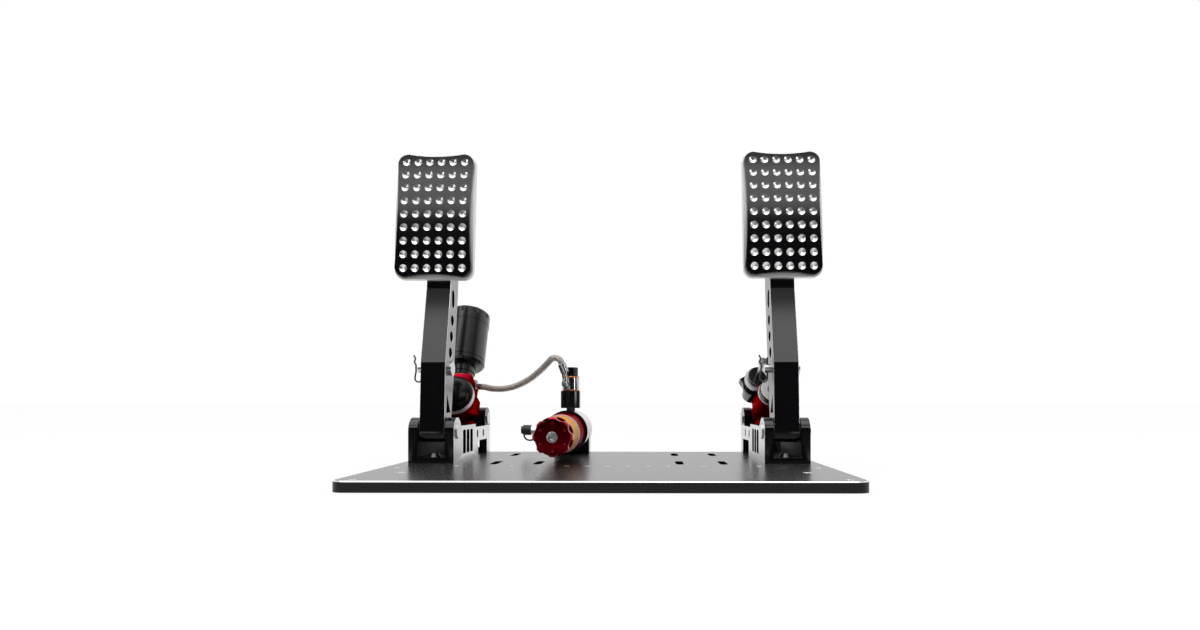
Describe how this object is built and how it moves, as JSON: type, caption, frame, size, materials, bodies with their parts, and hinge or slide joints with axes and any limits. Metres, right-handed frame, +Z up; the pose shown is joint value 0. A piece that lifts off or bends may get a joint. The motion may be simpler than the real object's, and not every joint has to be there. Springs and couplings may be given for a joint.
{
  "type": "sim racing pedal set",
  "caption": "Hydraulic brake and throttle pedals with dimpled faces on a slotted base plate, with a braided hose to an elastomer pressure cylinder.",
  "frame": {"origin": "centre of the base plate's underside", "axes": "+X to the right seen by the driver, +Y forward away from the driver, +Z up"},
  "size_m": [0.386, 0.2754, 0.2904],
  "materials": {
    "black_anodised": "black anodised, satin; the brackets' and arms' sides and the plate's chamfer are bare",
    "steel": "bright zinc plated",
    "bare_aluminium": "bare machined",
    "black_face": "black anodised, with dimples machined bare",
    "red_anodised": "red anodised",
    "rubber": "matt",
    "orange_elastomer": "satin",
    "bronze": "plain",
    "chrome": "polished",
    "black_plastic": "gloss black",
    "braid": "woven stainless braid"
  },
  "bodies": {
    "base": {"base_plate": "black_anodised", "brake_bracket": "black_anodised", "throttle_bracket": "black_anodised", "bracket_screws": "steel", "pivot_pins": "steel", "rear_pins": "steel", "retaining_rings": "steel", "slave_saddle": "black_anodised", "saddle_screws": "steel", "slave_body": "bare_aluminium", "slave_gland": "black_anodised", "slave_tie_rod": "steel", "elastomer": "orange_elastomer", "bleed_nipple": "steel", "bleed_cap": "rubber", "hose_adapter": "black_anodised", "banjo_fitting": "chrome", "banjo_bolt": "black_anodised", "copper_washers": "bronze", "brake_hose": "braid"},
    "slave_ram": {"slave_piston": "bare_aluminium", "slave_piston_seal": "rubber", "pressure_cup": "red_anodised", "cup_washer": "bare_aluminium"},
    "knob": {"adjust_knob": "red_anodised"},
    "brake_pedal": {"brake_arm": "black_anodised", "brake_bushes": "bronze", "brake_pad_back": "bare_aluminium", "brake_pad": "black_face", "brake_pad_screws": "steel", "brake_clevis_pin": "steel", "brake_r_clip": "steel"},
    "throttle_pedal": {"throttle_arm": "black_anodised", "throttle_bushes": "bronze", "throttle_pad_back": "bare_aluminium", "throttle_pad": "black_face", "throttle_pad_screws": "steel", "throttle_clevis_pin": "steel", "throttle_r_clip": "steel"},
    "master": {"master_body": "red_anodised", "master_boot": "rubber", "master_ring": "bare_aluminium", "outlet_washer": "bronze", "outlet_fitting": "steel", "reservoir_seal": "rubber", "reservoir_collar": "black_plastic", "reservoir": "black_plastic", "master_spring": "steel"},
    "cap": {"reservoir_cap": "black_plastic"},
    "master_rod": {"master_pushrod": "steel", "master_piston": "bare_aluminium", "master_seal": "rubber"},
    "throttle_unit": {"throttle_cylinder": "red_anodised", "throttle_cap": "black_anodised", "throttle_rings": "bare_aluminium", "throttle_spring": "steel", "position_sensor": "black_plastic", "sensor_clamp": "bare_aluminium"},
    "throttle_rod": {"throttle_pushrod": "steel", "sensor_rod": "steel"}
  },
  "joints": [
    {"name": "brake_pivot", "type": "hinge", "parent": "base", "child": "brake_pedal", "pos_m": [-0.156, 0.008, 0.036], "axis": [-1, 0, 0], "range_deg": [0, 12], "stiffness_Nm_per_rad": 20, "springref_deg": -5.73},
    {"name": "master_pivot", "type": "hinge", "parent": "base", "child": "master", "pos_m": [-0.156, 0.121, 0.045], "axis": [-1, 0, 0], "range_deg": [0, 1.3]},
    {"name": "master_rod_slide", "type": "slide", "parent": "master", "child": "master_rod", "axis": [0, 0.9142, -0.4053], "range_m": [0, 0.012], "deforming": ["master_spring"]},
    {"name": "slave_ram_slide", "type": "slide", "parent": "base", "child": "slave_ram", "axis": [0, -1, 0], "range_m": [0, 0.0041], "deforming": ["elastomer"]},
    {"name": "throttle_pivot", "type": "hinge", "parent": "base", "child": "throttle_pedal", "pos_m": [0.156, 0.008, 0.036], "axis": [-1, 0, 0], "range_deg": [0, 15], "stiffness_Nm_per_rad": 10, "springref_deg": -11.46},
    {"name": "throttle_unit_pivot", "type": "hinge", "parent": "base", "child": "throttle_unit", "pos_m": [0.156, 0.121, 0.045], "axis": [-1, 0, 0], "range_deg": [0, 1.5]},
    {"name": "throttle_rod_slide", "type": "slide", "parent": "throttle_unit", "child": "throttle_rod", "axis": [0, 0.9142, -0.4053], "range_m": [0, 0.015], "deforming": ["throttle_spring"]},
    {"name": "knob_turn", "type": "hinge", "parent": "base", "child": "knob", "pos_m": [-0.044, -0.0365, 0.033], "axis": [0, 1, 0], "continuous": true},
    {"name": "cap_turn", "type": "hinge", "parent": "master", "child": "cap", "pos_m": [-0.156, 0.0826, 0.06202], "axis": [0, 0.4053, 0.9142], "continuous": true}
  ],
  "couplings": [
    {"joint": "master_pivot", "follows": "brake_pivot", "ratio": 0.10101},
    {"joint": "master_rod_slide", "follows": "brake_pivot", "m_per_rad": 0.055226},
    {"joint": "slave_ram_slide", "follows": "brake_pivot", "m_per_rad": 0.0191},
    {"joint": "throttle_unit_pivot", "follows": "throttle_pivot", "ratio": 0.08954},
    {"joint": "throttle_rod_slide", "follows": "throttle_pivot", "m_per_rad": 0.055431}
  ]
}
